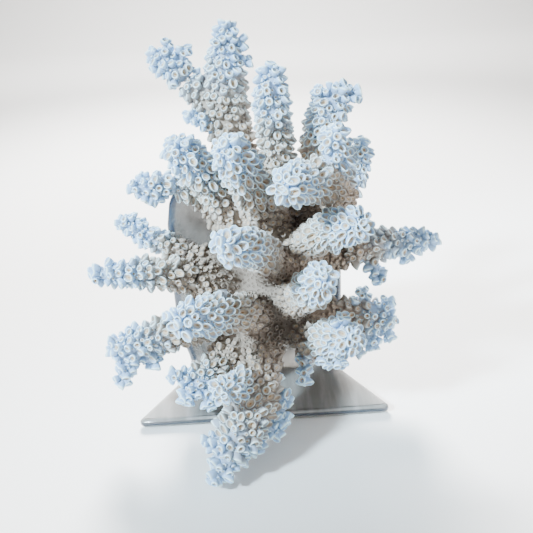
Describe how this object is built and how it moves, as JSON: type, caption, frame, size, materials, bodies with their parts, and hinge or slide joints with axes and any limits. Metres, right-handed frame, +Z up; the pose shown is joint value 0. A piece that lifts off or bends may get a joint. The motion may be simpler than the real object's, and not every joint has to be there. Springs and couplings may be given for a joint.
{
  "type": "branching coral on stand",
  "caption": "Bleached branching coral colony, a bouquet of thick fingers covered in small cups, fixed by its cut root to a bent clear acrylic stand.",
  "frame": {"origin": "middle of the stand's foot underside, on the surface it rests on", "axes": "+Z up, -Y towards the viewer the fingers point to, +X to the viewer's right, the stand's blade at +Y"},
  "size_m": [0.1243, 0.0931, 0.1368],
  "materials": {
    "coral_white": "matt, rough bleached coral stone",
    "coral_root": "matt, rough brownish coral stone",
    "clear_acrylic": "polished clear"
  },
  "bodies": {
    "root": {"stand": "clear_acrylic", "root_mass": "coral_root", "crown_finger": "coral_white", "crown_left_finger": "coral_white", "upper_middle_finger": "coral_white", "upper_front_finger": "coral_white", "left_shoulder_finger": "coral_white", "left_upper_arm": "coral_white", "left_back_arm": "coral_white", "left_front_arm": "coral_white", "lower_left_arm": "coral_white", "left_front_finger": "coral_white", "middle_front_finger": "coral_white", "right_upper_front_finger": "coral_white", "right_upper_finger": "coral_white", "right_shoulder_finger": "coral_white", "right_front_finger": "coral_white", "right_arm": "coral_white", "right_middle_finger": "coral_white", "right_lower_front_finger": "coral_white", "right_lower_arm": "coral_white", "bottom_finger": "coral_white", "lower_left_finger": "coral_white"}
  },
  "joints": []
}
